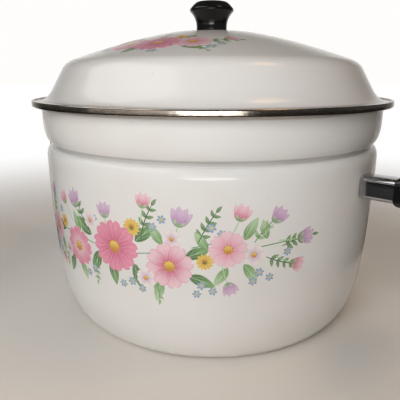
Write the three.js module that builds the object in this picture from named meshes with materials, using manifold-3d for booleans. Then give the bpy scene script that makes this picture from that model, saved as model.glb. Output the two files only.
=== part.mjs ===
// Enamelled steel stockpot, 26 cm across, with a domed lid and two T-shaped side handles.
// Millimetres, +Z up. The origin is the middle of the base, on the surface that the pot stands on.
// The handles lie along +X and -X.

import * as THREE from 'three';
import { mergeVertices } from 'three/addons/utils/BufferGeometryUtils.js';
import Module from 'manifold-3d';

const wasm = await Module();
wasm.setup();

// Fits
const FIT_GAP = 0.3; // between a piece and the curved or turned face that it sits on
const SEAT_GAP = 0.1; // between flat faces that rest on each other
const TRIM_GAP = 0.2; // between a flange and the trim that is crimped round it

// Sheet and facets
const SHEET = 1.4; // steel with enamel on both sides
const AROUND = 40; // facets round the shells
const AROUND_SMALL = 24; // facets round the knob
const AROUND_SCREW = 12; // facets round the fasteners
const TIGHT_STEPS = 3; // facets along a short bend
const BEND_STEPS = 4; // facets along a middling bend
const LONG_STEPS = 6; // facets along a long curve
const OVERRUN = 1; // how far a cut runs past the face that it opens

// Pot
const POT_HEIGHT = 168.3; // base to the top of the rim trim
const BASE_RING = 12; // width of the ring that the pot stands on
const BASE_DISH = 1.2; // how far the middle of the base is pressed up
const DISH_SLOPE = 4; // width of the slope from the ring to the dish
const CORNER_HEIGHT = 50; // height at which the base corner meets the wall
const CORNER_REACH = 21.2; // how far the corner swells past the base ring
const WALL_RADIUS = 132.2; // straight upper part of the wall
const WALL_STRAIGHT = 108; // height at which the straight part begins
const WALL_LEAN = 3.5; // how far the wall leans out between the corner and the straight part
const WALL_SWELL = 0.3; // how far it swells past a straight line there
const GROOVE_DROP = 30; // rim to the middle of the groove below the collar
const GROOVE_DEPTH = 4;
const GROOVE_HALF = 1.2; // half the flat floor of the groove
const SHOULDER = 9; // height of the rounded shoulder below the groove
const SHOULDER_TURN = 1; // how close to the groove the shoulder turns in
const COLLAR_STEP = 1; // how far the collar stands out past the wall
const COLLAR_ROUND = 13; // height of the collar's rounded lower edge
const COLLAR_TURN = 3; // how close to the groove the collar's lower edge turns up
const COLLAR_LEAN = 0.6; // how far the collar leans out over that edge
const FLARE_HEIGHT = 7; // height of the flare under the rim
const FLANGE_REACH = 2.6; // collar to the raw edge of the pot's flange

// Trim rings
const TRIM_LIP = 0.5; // thickness of the trim's lips and web
const TRIM_COVER = 1.4; // how far the lips reach in over the flange
const TRIM_ROUND = 0.6; // chamfer on the trim's outer edges

// Lid
const LID_FLANGE_EXTRA = 3.4; // how far the lid's flange reaches past the pot's
const BAND_DROP = 2.3; // how far the lid's trim hangs below the flange, round the pot's trim
const BAND_GAP = 0.4; // between the two trims
const BAND_CURL = 2.2; // rounding of the lid trim's lower edge
const MOUTH_GAP = 2.6; // between the lid's lip and the inside of the collar
const LIP_DROP = 6; // how far the lip reaches below the lid's flange
const SKIRT_HEIGHT = 27.2; // flange to the shoulder
const SKIRT_LEAN = 15.3; // how far the skirt leans in over that height
const FOOT_ROUND = 4; // fillet between skirt and flange
const DOME_HEIGHT = 22.5; // shoulder to the knob's seat
const SHOULDER_ROUND = 6; // width of the lid's rounded shoulder
const SHOULDER_FALL = 0.8; // how much of that width the rounding takes down the skirt
const SHOULDER_RISE = 0.36; // slope of the dome where it leaves the shoulder
const SEAT_RADIUS = 34; // flat seat in the middle of the lid
const DOME_BULGE = 0.43; // where the dome bends most, as a share of the way to the shoulder
const DOME_FALL = 0.245; // how far down it has come there, as a share of its height

// Knob
const KNOB_HEIGHT = 23.2;
const KNOB_RADIUS = 17.2;
const KNOB_NECK = 12;
const KNOB_NECK_HEIGHT = 4;
const KNOB_WIDEST = 15.6; // height of the widest part
const KNOB_EDGE = 1.6; // height of the upright edge at the widest part
const KNOB_WAIST = 0.7; // where the neck turns out, as a share of the way to the widest part
const KNOB_TOP = 11; // radius of the flat top
const KNOB_BROW = 2; // how far past that the rounded brow bends
const KNOB_CROWN = 0.8; // rise of the top towards its middle
const INSERT_RADIUS = 4;
const INSERT_LENGTH = 12.5;
const KNOB_SCREW = 2; // shank radius
const KNOB_SCREW_GRIP = 11; // how far the screw reaches into the insert
const KNOB_SCREW_HEAD = 4.2;
const KNOB_HEAD_HEIGHT = 2.6;
const KNOB_HEAD_FACE = 0.7; // flat face of the head, as a share of its radius
const THREAD_GAP = 0.3; // between a screw and its threaded hole
const HOLE_GAP = 0.8; // between a screw and a plain hole
const GASKET_RADIUS = 11.4;
const GASKET_THICKNESS = 0.8;
const WASHER_RADIUS = 6.5;
const WASHER_THICKNESS = 0.8;

// Side handles
const HANDLE_DROP = 52; // rim to the middle of the ferrules
const FERRULE_LENGTH = 22.5;
const FERRULE_WIDTH = 16;
const FERRULE_TALL = 15.5;
const FERRULE_WALL = 1;
const FERRULE_CORNER = 3;
const LUG_WIDTH = 9;
const LUG_TALL = 8;
const LUG_CORNER = 1;
const LUG_INTO_GRIP = 10.5; // how far the lug reaches into the grip
const PAD_THICKNESS = 3; // welded foot of the lug
const PAD_MARGIN = 0.5; // between the foot and the inside of the ferrule
const GRIP_REACH = 40; // ferrule to the outer edge of the grip in its middle
const GRIP_BOW = 4; // how far that edge falls back towards the bar's ends
const GRIP_NECK = 20; // width of the neck on the ferrule
const GRIP_BAR = 23; // depth of the cross bar in its middle
const GRIP_SPAN = 80; // length of the cross bar
const GRIP_TALL = 19.5;
const GRIP_CORNER = 9; // rounding of the bar's ends in plan
const GRIP_FILLET = 9; // fillet between neck and bar
const GRIP_ROUND = 5; // rounding of the grip's edges
const GRIP_ROUND_STEPS = 3; // facets across that rounding
const SCREW_RADIUS = 2.4;
const SCREW_INTO_LUG = 9;
const SCREW_HEAD = 4.4;
const SCREW_HEAD_HEIGHT = 3.2;
const SCREW_WASHER = 4.8;
const SCREW_WASHER_THICKNESS = 1.2;
const COUNTERBORE = 5.4;
const COUNTERBORE_DEPTH = 9; // from the grip's outer edge

// Levels and radii that follow from these
const CORNER_RADIUS = WALL_RADIUS - WALL_LEAN;
const BASE_RADIUS = CORNER_RADIUS - CORNER_REACH;
const COLLAR_RADIUS = WALL_RADIUS + COLLAR_STEP;
const GROOVE_HEIGHT = POT_HEIGHT - GROOVE_DROP;
const HANDLE_HEIGHT = POT_HEIGHT - HANDLE_DROP;
const TRIM_HEIGHT = 2 * TRIM_LIP + 2 * TRIM_GAP + SHEET;
const POT_FLANGE_LEVEL = POT_HEIGHT - TRIM_LIP - TRIM_GAP - SHEET;
const POT_FLANGE_RADIUS = COLLAR_RADIUS + FLANGE_REACH;
const POT_TRIM_RADIUS = POT_FLANGE_RADIUS + TRIM_GAP + TRIM_LIP;
const LID_FLANGE_LEVEL = POT_HEIGHT + SEAT_GAP;
const LID_FLANGE_RADIUS = POT_FLANGE_RADIUS + LID_FLANGE_EXTRA;
const LIP_RADIUS = COLLAR_RADIUS - SHEET - MOUTH_GAP;
const SHOULDER_LEVEL = LID_FLANGE_LEVEL + SHEET + SKIRT_HEIGHT;
const SEAT_LEVEL = SHOULDER_LEVEL + DOME_HEIGHT;
const KNOB_LEVEL = SEAT_LEVEL + SEAT_GAP + GASKET_THICKNESS + SEAT_GAP;
const WASHER_LEVEL = SEAT_LEVEL - SHEET - SEAT_GAP - WASHER_THICKNESS;

const white = new THREE.MeshStandardMaterial({ color: 0xeee9e2, roughness: 0.15 });
const steel = new THREE.MeshStandardMaterial({ color: 0xc9c6c0, roughness: 0.2, metalness: 1 });
const chrome = new THREE.MeshStandardMaterial({ color: 0xd8d9dc, roughness: 0.08, metalness: 1 });
const black = new THREE.MeshStandardMaterial({ color: 0x141312, roughness: 0.3 });
const brass = new THREE.MeshStandardMaterial({ color: 0xb8953f, roughness: 0.35, metalness: 1 });
const fibre = new THREE.MeshStandardMaterial({ color: 0x2b2522, roughness: 0.9 });

const at = (r, z) => new THREE.Vector2(r, z);

// Points of a curve from start to end that leaves and arrives along the lines to the bend.
function bend(start, middle, end, steps) {
  return new THREE.QuadraticBezierCurve(start, middle, end).getPoints(steps);
}

// Points of a quarter ellipse about a centre, from one angle in degrees to another.
function ellipse(centre, a, b, from, to, steps) {
  return Array.from({ length: steps + 1 }, (_, i) => {
    const angle = THREE.MathUtils.degToRad(from + ((to - from) * i) / steps);
    return at(centre.x + a * Math.cos(angle), centre.y + b * Math.sin(angle));
  });
}

// The profile moved sideways by a distance, to the left of the way that it runs.
function inset(profile, distance) {
  return profile.map((point, i) => {
    const before = profile[Math.max(i - 1, 0)];
    const after = profile[Math.min(i + 1, profile.length - 1)];
    const into = point.clone().sub(before).normalize();
    const out = after.clone().sub(point).normalize();
    const along = into.clone().add(out).normalize();
    const square = Math.max(along.dot(out), along.dot(into));
    return at(point.x - (along.y * distance) / square, point.y + (along.x * distance) / square);
  });
}

// A closed geometry as a solid that can be joined and cut.
function solid(geometry) {
  const bare = geometry.clone();
  bare.deleteAttribute('normal');
  bare.deleteAttribute('uv');
  const merged = mergeVertices(bare, 1e-4);
  const corners = Array.from(merged.index.array);
  const faces = [];
  for (let i = 0; i < corners.length; i += 3) {
    const [a, b, c] = corners.slice(i, i + 3);
    if (a !== b && b !== c && c !== a) {
      faces.push(a, b, c);
    }
  }
  return new wasm.Manifold(new wasm.Mesh({
    numProp: 3,
    vertProperties: new Float32Array(merged.attributes.position.array),
    triVerts: new Uint32Array(faces),
  }));
}

// A profile of radius and height, turned about the Z axis.
function turned(profile, around) {
  return solid(new THREE.LatheGeometry(profile, around).rotateX(Math.PI / 2));
}

// A ring or tube: a rectangle of radius and height turned about the Z axis.
function ring(inner, outer, low, high, around) {
  const corners = [at(inner, low), at(outer, low), at(outer, high), at(inner, high)];
  return turned([...corners, at(inner, low)], around);
}

// A round bar along X.
function bar(radius, from, to) {
  const shape = new THREE.CylinderGeometry(radius, radius, to - from, AROUND_SCREW).rotateZ(Math.PI / 2);
  return solid(shape.translate((from + to) / 2, 0, 0));
}

// A block along X with a rounded rectangular section.
function block(width, tall, corner, from, to) {
  const [w, t] = [width / 2, tall / 2];
  const outline = new THREE.Shape();
  outline.absarc(w - corner, t - corner, corner, 0, Math.PI / 2);
  outline.absarc(corner - w, t - corner, corner, Math.PI / 2, Math.PI);
  outline.absarc(corner - w, corner - t, corner, Math.PI, 1.5 * Math.PI);
  outline.absarc(w - corner, corner - t, corner, 1.5 * Math.PI, 2 * Math.PI);
  const shape = new THREE.ExtrudeGeometry(outline, {
    depth: to - from,
    bevelEnabled: false,
    curveSegments: TIGHT_STEPS,
  });
  return solid(shape.rotateY(Math.PI / 2).rotateX(Math.PI / 2).translate(from, 0, 0));
}

function piece(name, body, material) {
  const { vertProperties, triVerts } = body.getMesh();
  const geometry = new THREE.BufferGeometry();
  geometry.setAttribute('position', new THREE.BufferAttribute(vertProperties, 3));
  geometry.setIndex(new THREE.BufferAttribute(triVerts, 1));
  geometry.computeVertexNormals();
  const mesh = new THREE.Mesh(geometry, material);
  mesh.name = name;
  return mesh;
}

// The drawn pot: dished base, swelling corner, wall, groove, collar and flared flange in one sheet.
function potBody() {
  const ringInner = BASE_RADIUS - BASE_RING;
  const cornerMiddle = at(BASE_RADIUS, CORNER_HEIGHT);
  const grooveRadius = WALL_RADIUS - GROOVE_DEPTH;
  const grooveLow = GROOVE_HEIGHT - GROOVE_HALF;
  const grooveHigh = GROOVE_HEIGHT + GROOVE_HALF;
  const flareLow = POT_FLANGE_LEVEL - FLARE_HEIGHT;
  const flareEnd = POT_FLANGE_RADIUS - TRIM_COVER - TRIM_GAP;
  const outside = [
    at(0, BASE_DISH),
    at(ringInner - DISH_SLOPE, BASE_DISH),
    at(ringInner, 0),
    ...ellipse(cornerMiddle, CORNER_REACH, CORNER_HEIGHT, -90, 0, LONG_STEPS),
    at((CORNER_RADIUS + WALL_RADIUS) / 2 + WALL_SWELL, (CORNER_HEIGHT + WALL_STRAIGHT) / 2),
    at(WALL_RADIUS, WALL_STRAIGHT),
    ...bend(
      at(WALL_RADIUS, grooveLow - SHOULDER),
      at(WALL_RADIUS, grooveLow - SHOULDER_TURN),
      at(grooveRadius, grooveLow),
      BEND_STEPS,
    ),
    ...bend(
      at(grooveRadius, grooveHigh),
      at(COLLAR_RADIUS - COLLAR_LEAN, grooveHigh + COLLAR_TURN),
      at(COLLAR_RADIUS, grooveHigh + COLLAR_ROUND),
      BEND_STEPS,
    ),
    ...bend(
      at(COLLAR_RADIUS, flareLow),
      at(COLLAR_RADIUS, POT_FLANGE_LEVEL),
      at(flareEnd, POT_FLANGE_LEVEL),
      TIGHT_STEPS,
    ),
    at(POT_FLANGE_RADIUS, POT_FLANGE_LEVEL),
  ];
  const inside = inset(outside, SHEET).reverse();
  inside[inside.length - 1].x = 0;
  return piece('pot_body', turned([...outside, ...inside], AROUND), white);
}

// The pot's trim: a channel of thin steel, open inwards, crimped round the flange's raw edge.
function potTrim() {
  const inner = POT_FLANGE_RADIUS - TRIM_COVER;
  const web = POT_FLANGE_RADIUS + TRIM_GAP;
  const high = POT_HEIGHT;
  const low = POT_HEIGHT - TRIM_HEIGHT;
  const profile = [
    at(inner, low),
    at(POT_TRIM_RADIUS - TRIM_ROUND, low),
    at(POT_TRIM_RADIUS, low + TRIM_ROUND),
    at(POT_TRIM_RADIUS, high - TRIM_ROUND),
    at(POT_TRIM_RADIUS - TRIM_ROUND, high),
    at(inner, high),
    at(inner, high - TRIM_LIP),
    at(web, high - TRIM_LIP),
    at(web, low + TRIM_LIP),
    at(inner, low + TRIM_LIP),
    at(inner, low),
  ];
  return piece('pot_rim_trim', turned(profile, AROUND), steel);
}

// The lid's trim: a deeper channel, crimped on the lid's flange, that hangs round the pot's trim
// and curls under.
function lidTrim() {
  const inner = LID_FLANGE_RADIUS - TRIM_COVER;
  const web = LID_FLANGE_RADIUS + TRIM_GAP;
  const outer = web + TRIM_LIP;
  const high = LID_FLANGE_LEVEL + SHEET + TRIM_GAP + TRIM_LIP;
  const low = LID_FLANGE_LEVEL - BAND_DROP;
  const hem = POT_TRIM_RADIUS + BAND_GAP;
  const floor = low + TRIM_LIP;
  const curl = at(outer - BAND_CURL, low);
  const profile = [
    at(hem, low),
    ...bend(curl, at(outer, low), at(outer, low + BAND_CURL), TIGHT_STEPS),
    at(outer, high - TRIM_ROUND),
    at(outer - TRIM_ROUND, high),
    at(inner, high),
    at(inner, high - TRIM_LIP),
    at(web, high - TRIM_LIP),
    ...bend(at(web, low + BAND_CURL), at(web, floor), at(curl.x, floor), TIGHT_STEPS),
    at(hem, floor),
    at(hem, low),
  ];
  return piece('lid_rim_trim', turned(profile, AROUND), steel);
}

// The drawn lid: knob seat, dome, rounded shoulder, leaning skirt, flange, and the lip that centres it.
function lidShell() {
  const hole = KNOB_SCREW + HOLE_GAP;
  const flangeTop = LID_FLANGE_LEVEL + SHEET;
  const shoulder = LIP_RADIUS - SKIRT_LEAN;
  const lean = SKIRT_LEAN / SKIRT_HEIGHT;
  const domeEnd = at(shoulder - SHOULDER_ROUND, SHOULDER_LEVEL + SHOULDER_ROUND * SHOULDER_RISE);
  const fall = SHOULDER_ROUND * SHOULDER_FALL;
  const skirtTop = at(shoulder + lean * fall, SHOULDER_LEVEL - fall);
  const skirtFoot = at(LIP_RADIUS - lean * FOOT_ROUND, flangeTop + FOOT_ROUND);
  const bulgeRadius = SEAT_RADIUS + (domeEnd.x - SEAT_RADIUS) * DOME_BULGE;
  const bulge = at(bulgeRadius, SEAT_LEVEL - DOME_HEIGHT * DOME_FALL);
  const outside = [
    at(hole, SEAT_LEVEL),
    ...bend(at(SEAT_RADIUS, SEAT_LEVEL), bulge, domeEnd, LONG_STEPS),
    ...bend(domeEnd, at(shoulder, SHOULDER_LEVEL), skirtTop, TIGHT_STEPS).slice(1),
    skirtFoot,
  ];
  const inside = inset(outside, -SHEET).reverse();
  inside[inside.length - 1].x = hole;
  const lipInner = LIP_RADIUS - SHEET;
  const footEnd = at(LIP_RADIUS + FOOT_ROUND, flangeTop);
  const profile = [
    ...outside,
    ...bend(skirtFoot, at(LIP_RADIUS, flangeTop), footEnd, TIGHT_STEPS).slice(1),
    at(LID_FLANGE_RADIUS, flangeTop),
    at(LID_FLANGE_RADIUS, LID_FLANGE_LEVEL),
    at(LIP_RADIUS, LID_FLANGE_LEVEL),
    at(LIP_RADIUS, LID_FLANGE_LEVEL - LIP_DROP),
    at(lipInner, LID_FLANGE_LEVEL - LIP_DROP),
    at(lipInner, LID_FLANGE_LEVEL),
    ...inside,
    at(hole, SEAT_LEVEL),
  ];
  return piece('lid_shell', turned(profile.reverse(), AROUND), white);
}

// The moulded knob, hollow underneath for its threaded insert.
function knobPieces() {
  const socket = INSERT_RADIUS + TRIM_GAP;
  const socketDepth = INSERT_LENGTH + 2 * SEAT_GAP;
  const edgeHigh = KNOB_WIDEST + KNOB_EDGE;
  const crown = KNOB_HEIGHT - KNOB_CROWN;
  const knobProfile = [
    at(0, socketDepth),
    at(socket, socketDepth),
    at(socket, 0),
    at(KNOB_NECK, 0),
    ...bend(
      at(KNOB_NECK, KNOB_NECK_HEIGHT),
      at(KNOB_NECK, KNOB_WIDEST * KNOB_WAIST),
      at(KNOB_RADIUS, KNOB_WIDEST),
      BEND_STEPS,
    ),
    ...bend(
      at(KNOB_RADIUS, edgeHigh),
      at(KNOB_TOP + KNOB_BROW, crown),
      at(KNOB_TOP, crown),
      TIGHT_STEPS,
    ),
    at(KNOB_TOP / 2, KNOB_HEIGHT - KNOB_CROWN / 4),
    at(0, KNOB_HEIGHT),
  ].map((point) => at(point.x, point.y + KNOB_LEVEL));
  const threadHole = KNOB_SCREW + THREAD_GAP;
  const insertLow = KNOB_LEVEL + SEAT_GAP;
  const headTop = WASHER_LEVEL - SEAT_GAP;
  const screwTop = insertLow + KNOB_SCREW_GRIP;
  const screwProfile = [
    at(0, headTop - KNOB_HEAD_HEIGHT),
    at(KNOB_SCREW_HEAD * KNOB_HEAD_FACE, headTop - KNOB_HEAD_HEIGHT),
    at(KNOB_SCREW_HEAD, headTop - KNOB_HEAD_HEIGHT / 2),
    at(KNOB_SCREW_HEAD, headTop),
    at(KNOB_SCREW, headTop),
    at(KNOB_SCREW, screwTop),
    at(0, screwTop),
  ];
  const plainHole = KNOB_SCREW + HOLE_GAP;
  const gasketLow = SEAT_LEVEL + SEAT_GAP;
  const gasketHigh = gasketLow + GASKET_THICKNESS;
  const washerHigh = WASHER_LEVEL + WASHER_THICKNESS;
  const insert = ring(threadHole, INSERT_RADIUS, insertLow, insertLow + INSERT_LENGTH, AROUND_SCREW);
  const gasket = ring(plainHole, GASKET_RADIUS, gasketLow, gasketHigh, AROUND_SMALL);
  const washer = ring(plainHole, WASHER_RADIUS, WASHER_LEVEL, washerHigh, AROUND_SMALL);
  return [
    piece('lid_knob', turned(knobProfile, AROUND_SMALL), black),
    piece('knob_insert', insert, brass),
    piece('knob_screw', turned(screwProfile, AROUND_SCREW), steel),
    piece('knob_gasket', gasket, fibre),
    piece('knob_washer', washer, steel),
  ];
}

// The plan of the grip: a neck on the ferrule, and a cross bar with a bowed outer edge, with X outwards.
function gripOutline() {
  const start = FERRULE_LENGTH + FIT_GAP;
  const end = FERRULE_LENGTH + GRIP_REACH;
  const barInside = end - GRIP_BAR;
  const barOutside = end - GRIP_BOW;
  const neck = GRIP_NECK / 2;
  const filletX = barInside - GRIP_FILLET;
  const filletY = neck + GRIP_FILLET;
  const innerX = barInside + GRIP_CORNER;
  const outerX = barOutside - GRIP_CORNER;
  const endY = GRIP_SPAN / 2 - GRIP_CORNER;
  const outline = new THREE.Shape();
  outline.moveTo(start, -neck);
  outline.lineTo(filletX, -neck);
  outline.absarc(filletX, -filletY, GRIP_FILLET, Math.PI / 2, 0, true);
  outline.lineTo(barInside, -endY);
  outline.absarc(innerX, -endY, GRIP_CORNER, Math.PI, 1.5 * Math.PI);
  outline.absarc(outerX, -endY, GRIP_CORNER, -Math.PI / 2, 0);
  outline.quadraticCurveTo(end + GRIP_BOW, 0, barOutside, endY);
  outline.absarc(outerX, endY, GRIP_CORNER, 0, Math.PI / 2);
  outline.absarc(innerX, endY, GRIP_CORNER, Math.PI / 2, Math.PI);
  outline.lineTo(barInside, filletY);
  outline.absarc(filletX, filletY, GRIP_FILLET, 0, -Math.PI / 2, true);
  outline.lineTo(start, neck);
  return outline;
}

// One side handle, in a frame with its origin at the wall and X straight out from the pot's axis.
function sideHandle(side, heading) {
  const turnedTo = new THREE.Group();
  turnedTo.rotation.set(0, 0, heading);
  const frame = new THREE.Group();
  frame.position.set(WALL_RADIUS, 0, HANDLE_HEIGHT);
  turnedTo.add(frame);

  // The wall, seen from the handle's frame, with room for the fit.
  const clear = WALL_RADIUS + FIT_GAP;
  const wall = new THREE.CylinderGeometry(clear, clear, POT_HEIGHT, 2 * AROUND).rotateX(Math.PI / 2);
  const wallCut = solid(wall.translate(-WALL_RADIUS, 0, 0));
  const behind = -FERRULE_WIDTH; // a start inside the wall, which the cut takes away
  const gripStart = FERRULE_LENGTH + FIT_GAP;
  const gripEnd = FERRULE_LENGTH + GRIP_REACH;
  const lugEnd = gripStart + LUG_INTO_GRIP;
  const boreFloor = gripEnd - COUNTERBORE_DEPTH;
  const threadHole = SCREW_RADIUS + THREAD_GAP;
  const plainHole = SCREW_RADIUS + HOLE_GAP;

  const tubeWidth = FERRULE_WIDTH - 2 * FERRULE_WALL;
  const tubeTall = FERRULE_TALL - 2 * FERRULE_WALL;
  const tubeCorner = FERRULE_CORNER - FERRULE_WALL;
  const ferrule = block(FERRULE_WIDTH, FERRULE_TALL, FERRULE_CORNER, behind, FERRULE_LENGTH)
    .subtract(block(tubeWidth, tubeTall, tubeCorner, behind - OVERRUN, FERRULE_LENGTH + OVERRUN))
    .subtract(wallCut);

  const padWidth = tubeWidth - 2 * PAD_MARGIN;
  const padTall = tubeTall - 2 * PAD_MARGIN;
  const threadEnd = lugEnd - SCREW_INTO_LUG;
  const lug = block(LUG_WIDTH, LUG_TALL, LUG_CORNER, behind, lugEnd)
    .add(block(padWidth, padTall, LUG_CORNER, behind, PAD_THICKNESS))
    .subtract(wallCut)
    .subtract(bar(threadHole, threadEnd - OVERRUN, lugEnd + OVERRUN));

  const washerEnd = boreFloor + SEAT_GAP + SCREW_WASHER_THICKNESS;
  const washer = bar(SCREW_WASHER, boreFloor + SEAT_GAP, washerEnd)
    .subtract(bar(plainHole, boreFloor, washerEnd + OVERRUN));
  const headStart = washerEnd + SEAT_GAP;
  const screw = bar(SCREW_RADIUS, threadEnd, headStart + OVERRUN)
    .add(bar(SCREW_HEAD, headStart, headStart + SCREW_HEAD_HEIGHT));

  const moulding = new THREE.ExtrudeGeometry(gripOutline(), {
    depth: GRIP_TALL - 2 * GRIP_ROUND,
    bevelThickness: GRIP_ROUND,
    bevelSize: GRIP_ROUND,
    bevelOffset: -GRIP_ROUND,
    bevelSegments: GRIP_ROUND_STEPS,
    curveSegments: BEND_STEPS,
  });
  const socketWidth = LUG_WIDTH + 2 * FIT_GAP;
  const socketTall = LUG_TALL + 2 * FIT_GAP;
  const grip = solid(moulding.translate(0, 0, GRIP_ROUND - GRIP_TALL / 2))
    .subtract(block(socketWidth, socketTall, LUG_CORNER, gripStart - OVERRUN, lugEnd + FIT_GAP))
    .subtract(bar(plainHole, lugEnd, boreFloor + OVERRUN))
    .subtract(bar(COUNTERBORE, boreFloor, gripEnd + OVERRUN));

  frame.add(
    piece(`ferrule_${side}`, ferrule, chrome),
    piece(`lug_${side}`, lug, steel),
    piece(`washer_${side}`, washer, steel),
    piece(`screw_${side}`, screw, steel),
    piece(`grip_${side}`, grip, black),
  );
  return turnedTo;
}

const stockpot = new THREE.Group();
stockpot.add(
  potBody(),
  potTrim(),
  sideHandle('right', 0),
  sideHandle('left', Math.PI),
  lidShell(),
  lidTrim(),
  ...knobPieces(),
);

export default stockpot;
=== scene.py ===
import math

import bmesh
import bpy
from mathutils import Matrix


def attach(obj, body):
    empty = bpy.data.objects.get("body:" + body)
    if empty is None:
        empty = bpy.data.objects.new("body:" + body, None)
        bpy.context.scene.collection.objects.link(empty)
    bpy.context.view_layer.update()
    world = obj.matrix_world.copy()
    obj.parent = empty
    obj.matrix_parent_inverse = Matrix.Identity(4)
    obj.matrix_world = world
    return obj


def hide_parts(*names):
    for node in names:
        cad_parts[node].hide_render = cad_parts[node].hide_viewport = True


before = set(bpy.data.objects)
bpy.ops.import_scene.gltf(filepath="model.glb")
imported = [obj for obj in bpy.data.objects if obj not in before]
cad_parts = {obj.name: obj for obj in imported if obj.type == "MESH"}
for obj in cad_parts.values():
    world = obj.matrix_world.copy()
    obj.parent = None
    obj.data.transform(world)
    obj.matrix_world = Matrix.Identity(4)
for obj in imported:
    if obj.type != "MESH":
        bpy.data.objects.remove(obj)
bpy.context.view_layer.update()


# Pot shell. One disc of sheet steel, drawn into base, swelling corner, wall, groove and collar, with a flange
# turned out at the mouth. It is dipped in white glass enamel and fired, which softens every bend.
MM = 0.001
SHEET = 1.4
RIM = 168.3
BASE_RADIUS = 107.5
BASE_RING, BASE_RING_WIDTH = 95.5, 4
BASE_DISH = 1.2
CORNER_REACH, CORNER_HEIGHT, CORNER_STEPS = 21.2, 50.0, 40
CORNER_LEAVES = -10.8
WALL_RADIUS, WALL_STRAIGHT = 132.2, 108.0
WALL_SWELL = (131.0, 73.7)
GROOVE_RADIUS, GROOVE_LOW, GROOVE_HIGH = 128.2, 137.1, 139.5
GROOVE_ROUND, GROOVE_LIP = 9, 1
COLLAR_RADIUS, COLLAR_LOW = 133.2, 152.5
COLLAR_HOLLOW, COLLAR_FOOT = 0.6, 3
FLANGE_LEVEL, FLANGE_RADIUS = 166.2, 135.8
FLANGE_FLAT, FLANGE_BEND = 134.2, 7
SHEET_ROUND = 1.1
REAL_CORNER, REAL_EDGE = math.radians(15), math.radians(38)
CORNER_SHARE = 0.45
POT_HEAT = (0.0, 4.0)
# Heights and reaches of painted shade on the pot: the groove, and the join under the rim's trim.
POT_CREASE_SHADE = [(139.0, 2.6), (165.4, 1.6)]
ENAMEL_WHITE = (0.80, 0.785, 0.765, 1)
ENAMEL_CREAM = (0.765, 0.735, 0.695, 1)
FLAME_TAN = (0.42, 0.33, 0.25, 1)
IRON_SPECK = (0.10, 0.075, 0.06, 1)
CREASE_SHADE_GREY = (0.20, 0.185, 0.17, 1)


def bend(start, middle, end, steps):
    """Points of a curve that leaves start and reaches end along the lines to middle."""
    shares = [i / steps for i in range(steps + 1)]
    return [tuple((1 - t) ** 2 * a + 2 * t * (1 - t) * b + t * t * c for a, b, c in zip(start, middle, end))
            for t in shares]


def softened(path, radius, steps=5):
    """The path with each sharp corner cut back and rounded."""
    out = [path[0]]
    for before, corner, after in zip(path, path[1:], path[2:]):
        into = (corner[0] - before[0], corner[1] - before[1])
        away = (after[0] - corner[0], after[1] - corner[1])
        lengths = math.hypot(*into), math.hypot(*away)
        turn = math.atan2(into[0] * away[1] - into[1] * away[0], into[0] * away[0] + into[1] * away[1])
        if abs(turn) < REAL_CORNER:
            out.append(corner)
            continue
        cut = [min(radius, CORNER_SHARE * length) / length for length in lengths]
        start = (corner[0] - into[0] * cut[0], corner[1] - into[1] * cut[0])
        end = (corner[0] + away[0] * cut[1], corner[1] + away[1] * cut[1])
        out += bend(start, corner, end, steps)
    return out + [path[-1]]


def beside(path, distance):
    """The path moved sideways, to the left of the way that it runs."""
    moved = []
    for i, (x, y) in enumerate(path):
        ahead, behind = path[min(i + 1, len(path) - 1)], path[max(i - 1, 0)]
        along = (ahead[0] - behind[0], ahead[1] - behind[1])
        length = math.hypot(*along)
        moved.append((x - along[1] * distance / length, y + along[0] * distance / length))
    return moved


def smoothed(mesh):
    mesh.polygons.foreach_set("use_smooth", [True] * len(mesh.polygons))
    mesh.set_sharp_from_angle(angle=REAL_EDGE)


def linked(name, data):
    """An object at the origin for a mesh, a lamp or a camera."""
    thing = bpy.data.objects.new(name, data)
    bpy.context.scene.collection.objects.link(thing)
    return thing


def shown(name, mesh):
    """A mesh as an object, smooth apart from its real edges."""
    smoothed(mesh)
    return linked(name, mesh)


def turned(name, path, around=192, ring=False):
    """A closed piece turned about the pot's axis from radii and heights in millimetres."""
    pairs = list(zip(path, path[1:] + path[:1]))
    if sum(a[0] * b[1] - b[0] * a[1] for a, b in pairs) < 0:
        path = path[::-1]
    rows, points = [], []
    for radius, height in path:
        if radius == 0:
            rows.append([len(points)] * (around + 1))
            points.append((0, 0, height * MM))
            continue
        first = len(points)
        rows.append([first + i % around for i in range(around + 1)])
        for i in range(around):
            angle = 2 * math.pi * i / around
            points.append((radius * MM * math.cos(angle), radius * MM * math.sin(angle), height * MM))
    travelled = [0]
    for a, b in zip(path, path[1:] + path[:1]):
        travelled.append(travelled[-1] + math.hypot(b[0] - a[0], b[1] - a[1]))
    if ring:
        rows.append(rows[0])
    faces, places = [], []
    for k in range(len(rows) - 1):
        low, high = travelled[k] / travelled[len(rows) - 1], travelled[k + 1] / travelled[len(rows) - 1]
        for i in range(around):
            corners = [(rows[k][i], i, low), (rows[k][i + 1], i + 1, low),
                       (rows[k + 1][i + 1], i + 1, high), (rows[k + 1][i], i, high)]
            kept = {point: (step / around, up) for point, step, up in corners}
            if len(kept) > 2:
                faces.append(list(kept))
                places += kept.values()
    mesh = bpy.data.meshes.new(name)
    mesh.from_pydata(points, [], faces)
    unrolled = mesh.uv_layers.new(name="OFBake")
    unrolled.data.foreach_set("uv", [value for place in places for value in place])
    return shown(name, mesh)


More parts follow.
